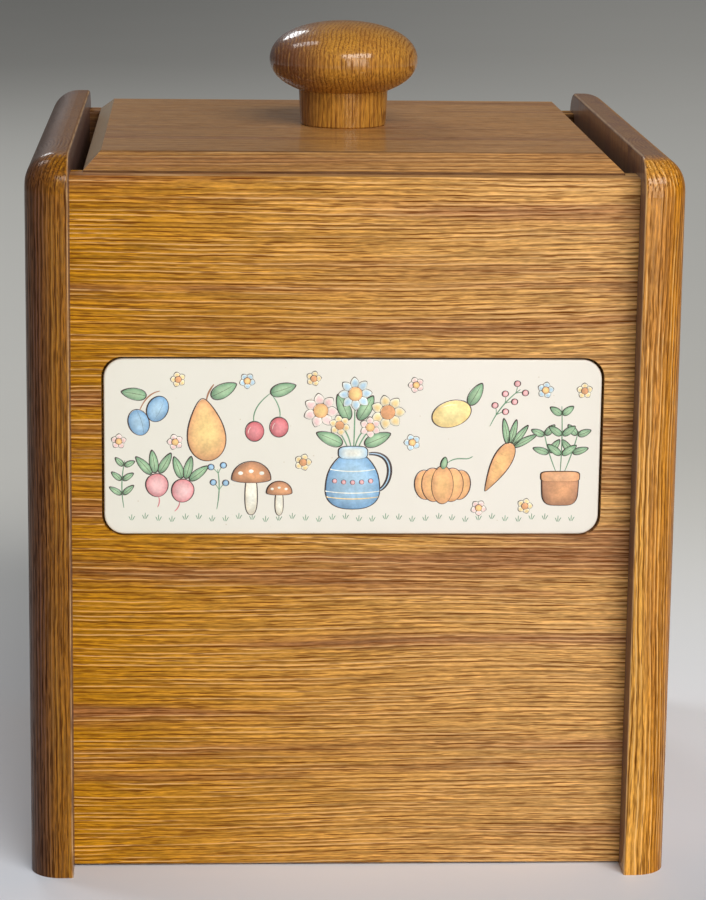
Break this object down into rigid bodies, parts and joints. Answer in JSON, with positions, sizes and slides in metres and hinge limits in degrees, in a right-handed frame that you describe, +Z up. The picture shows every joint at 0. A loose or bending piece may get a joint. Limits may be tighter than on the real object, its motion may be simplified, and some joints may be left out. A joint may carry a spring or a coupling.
{
  "type": "storage canister",
  "caption": "Upright oak kitchen canister with rounded side boards, an inset glazed tile, a bevelled lift-off lid with a turned knob, and a lift-out liner.",
  "frame": {"origin": "middle of the footprint, on the surface the canister stands on", "axes": "+X to the canister's right seen from the front, +Y to the back, +Z up; the tile faces -Y"},
  "size_m": [0.208, 0.206, 0.2694],
  "materials": {
    "oak_upright": "satin lacquered golden oak, grain upright",
    "oak_level": "satin lacquered golden oak, grain level",
    "oak_lid": "satin lacquered golden oak, grain along the front",
    "oak_knob": "gloss lacquered turned oak",
    "plywood": "unfinished plywood",
    "glazed_tile": "clear glaze over a printed design",
    "adhesive": "cured construction adhesive",
    "beech_dowel": "bare beech",
    "liner_plastic": "moulded food-safe plastic",
    "zinc_steel": "zinc plated"
  },
  "bodies": {
    "box": {"left_side_board": "oak_upright", "right_side_board": "oak_upright", "front_panel": "oak_level", "back_panel": "oak_level", "bottom_panel": "plywood", "tile": "glazed_tile", "tile_adhesive": "adhesive", "front_left_dowels": "beech_dowel", "front_right_dowels": "beech_dowel", "back_left_dowels": "beech_dowel", "back_right_dowels": "beech_dowel"},
    "liner_bin": {"liner": "liner_plastic"},
    "lid": {"lid_board": "oak_lid", "knob": "oak_knob", "knob_screw": "zinc_steel", "knob_washer": "zinc_steel"}
  },
  "joints": [
    {"name": "liner_lift", "type": "slide", "parent": "box", "child": "liner_bin", "axis": [0, 0, 1], "range_m": [0, 0.24]},
    {"name": "lid_lift", "type": "slide", "parent": "liner_bin", "child": "lid", "axis": [0, 0, 1], "range_m": [0, 0.2]}
  ]
}
